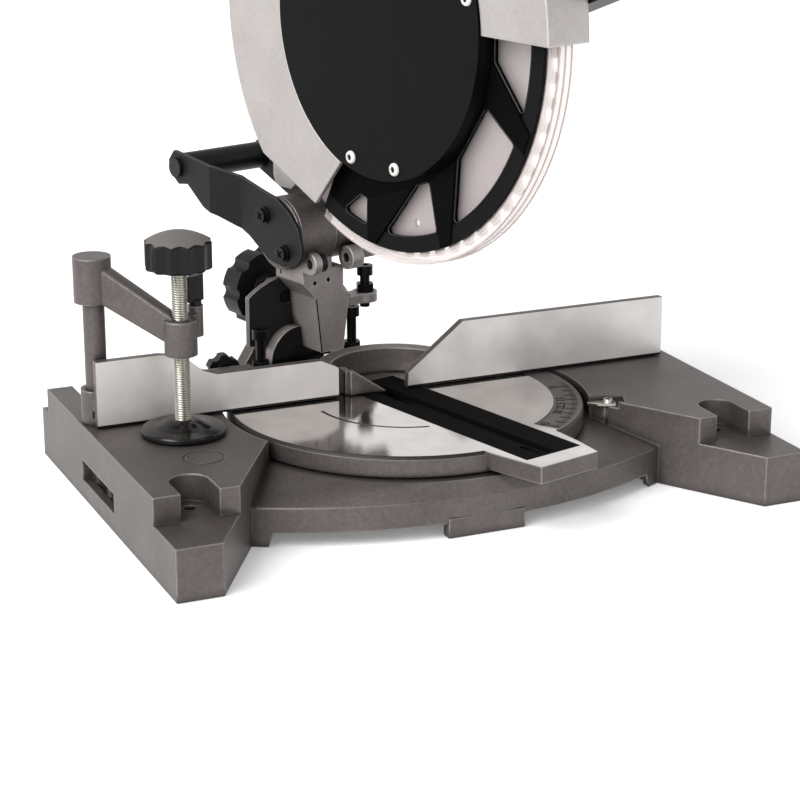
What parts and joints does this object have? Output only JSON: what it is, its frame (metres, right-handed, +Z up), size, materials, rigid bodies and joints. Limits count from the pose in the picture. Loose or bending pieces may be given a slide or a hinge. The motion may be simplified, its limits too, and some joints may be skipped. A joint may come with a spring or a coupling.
{
  "type": "compound mitre saw",
  "caption": "Bench mitre saw with a swivelling table, tilting column, spring-raised guarded blade head, sliding fences and a screw-down work clamp.",
  "frame": {"origin": "on the turntable axis at bench level, the centre of the bench bolt pattern", "axes": "+X to the right along the fence, +Y to the rear, +Z up"},
  "size_m": [0.488, 0.4544, 0.5305],
  "materials": {
    "cast_alloy": "powder-coated casting, dark silver grey",
    "milled_alloy": "milled bright",
    "black_plastic": "fine matt moulding",
    "motor_plastic": "fine matt moulding",
    "red_plastic": "satin moulding",
    "white_plastic": "satin",
    "black_steel": "black oxide",
    "zinc_steel": "zinc plated",
    "blade_steel": "ground plate",
    "clear_plastic": "clear polycarbonate"
  },
  "bodies": {
    "base": {"base": "cast_alloy", "fence_casting": "cast_alloy", "fence_bolts": "black_steel", "mitre_pointer": "zinc_steel", "pointer_screw": "zinc_steel", "clamp_arm": "cast_alloy", "clamp_thumbscrew": "black_plastic"},
    "clamp_foot": {"clamp_foot": "black_plastic"},
    "clamp_spindle": {"clamp_screw": "zinc_steel", "clamp_knob": "black_plastic"},
    "left_fence": {"left_fence": "milled_alloy"},
    "left_knob": {"left_fence_knob": "black_plastic"},
    "right_fence": {"right_fence": "milled_alloy"},
    "right_knob": {"right_fence_knob": "black_plastic"},
    "table": {"turntable": "milled_alloy", "table_insert": "black_plastic", "pivot_bolt": "black_steel", "bevel_yoke": "cast_alloy", "stop_screws": "black_steel", "stop_nuts": "black_steel", "bevel_pin": "black_steel", "bevel_stud": "zinc_steel"},
    "bevel_knob": {"bevel_knob": "black_plastic"},
    "column": {"column": "cast_alloy", "bevel_plate": "cast_alloy", "hinge_shaft": "zinc_steel", "hinge_flange": "cast_alloy", "shaft_nut": "black_steel", "handle_plate_left": "black_steel", "handle_plate_right": "black_steel", "handle_grip": "black_plastic", "plate_screws": "black_steel", "depth_stop_screw": "black_steel", "depth_stop_nut": "black_steel", "stop_disc": "black_plastic"},
    "head": {"head_arm": "cast_alloy", "gear_case": "cast_alloy", "motor_housing": "motor_plastic", "motor_cap": "black_plastic", "brush_caps": "black_plastic", "upper_guard": "cast_alloy", "dust_chute": "cast_alloy", "handle_left": "black_plastic", "handle_right": "black_plastic"},
    "trigger": {"trigger": "red_plastic"},
    "lock_button": {"lock_button": "red_plastic"},
    "spindle_lock": {"spindle_lock": "black_plastic"},
    "guard": {"guard_frame": "black_plastic", "guard_shell": "clear_plastic", "guard_hub": "black_plastic", "guard_screws": "white_plastic"},
    "blade": {"blade": "blade_steel", "flange_outer": "zinc_steel", "flange_inner": "zinc_steel", "arbor_bolt": "black_steel", "spindle": "zinc_steel"}
  },
  "joints": [
    {"name": "mitre", "type": "hinge", "parent": "base", "child": "table", "pos_m": [0, 0, 0.058], "axis": [0, 0, 1], "range_deg": [-60, 30]},
    {"name": "bevel", "type": "hinge", "parent": "table", "child": "column", "pos_m": [-0.03753, 0.14006, 0.058], "axis": [0.2588, -0.9659, 0], "range_deg": [0, 32]},
    {"name": "chop", "type": "hinge", "parent": "column", "child": "head", "pos_m": [-0.03468, 0.12943, 0.1647], "axis": [0.9659, 0.2588, 0], "range_deg": [0, 42], "stiffness_Nm_per_rad": 14, "springref_deg": -80.21},
    {"name": "guard_swing", "type": "hinge", "parent": "head", "child": "guard", "pos_m": [-0.00259, 0.00966, 0.345], "axis": [0.9659, 0.2588, 0], "range_deg": [-110, 0]},
    {"name": "blade_spin", "type": "hinge", "parent": "head", "child": "blade", "pos_m": [-0.00259, 0.00966, 0.345], "axis": [0.9659, 0.2588, 0], "continuous": true},
    {"name": "trigger_pull", "type": "slide", "parent": "head", "child": "trigger", "axis": [0.2241, -0.8365, 0.5], "range_m": [0, 0.004], "stiffness_N_per_m": 900, "springref_m": -0.003},
    {"name": "lock_press", "type": "slide", "parent": "head", "child": "lock_button", "axis": [0.9659, 0.2588, 0], "range_m": [0, 0.0035], "stiffness_N_per_m": 500, "springref_m": -0.003},
    {"name": "spindle_press", "type": "slide", "parent": "head", "child": "spindle_lock", "axis": [-0.9659, -0.2588, 0], "range_m": [0, 0.004], "stiffness_N_per_m": 500, "springref_m": -0.003},
    {"name": "bevel_clamp", "type": "hinge", "parent": "table", "child": "bevel_knob", "pos_m": [-0.04911, 0.17319, 0.10793], "axis": [-0.2588, 0.9659, 0], "range_deg": [-360, 0]},
    {"name": "left_fence_slide", "type": "slide", "parent": "base", "child": "left_fence", "axis": [1, 0, 0], "range_m": [-0.04, 0.006]},
    {"name": "right_fence_slide", "type": "slide", "parent": "base", "child": "right_fence", "axis": [1, 0, 0], "range_m": [0, 0.04]},
    {"name": "left_fence_clamp", "type": "hinge", "parent": "left_fence", "child": "left_knob", "pos_m": [-0.128, 0.05, 0.082], "axis": [0, 1, 0], "range_deg": [-360, 0]},
    {"name": "right_fence_clamp", "type": "hinge", "parent": "right_fence", "child": "right_knob", "pos_m": [0.2, 0.05, 0.082], "axis": [0, 1, 0], "range_deg": [-360, 0]},
    {"name": "clamp_feed", "type": "slide", "parent": "base", "child": "clamp_foot", "axis": [0, 0, -1], "range_m": [-0.035, 0]},
    {"name": "clamp_turn", "type": "hinge", "parent": "clamp_foot", "child": "clamp_spindle", "pos_m": [-0.181, -0.011, 0.12], "axis": [0, 0, -1], "range_deg": [-7260, 0]}
  ],
  "couplings": [
    {"joint": "guard_swing", "follows": "chop", "ratio": -2.6},
    {"joint": "clamp_turn", "follows": "clamp_feed", "rad_per_m": 3590.4}
  ]
}
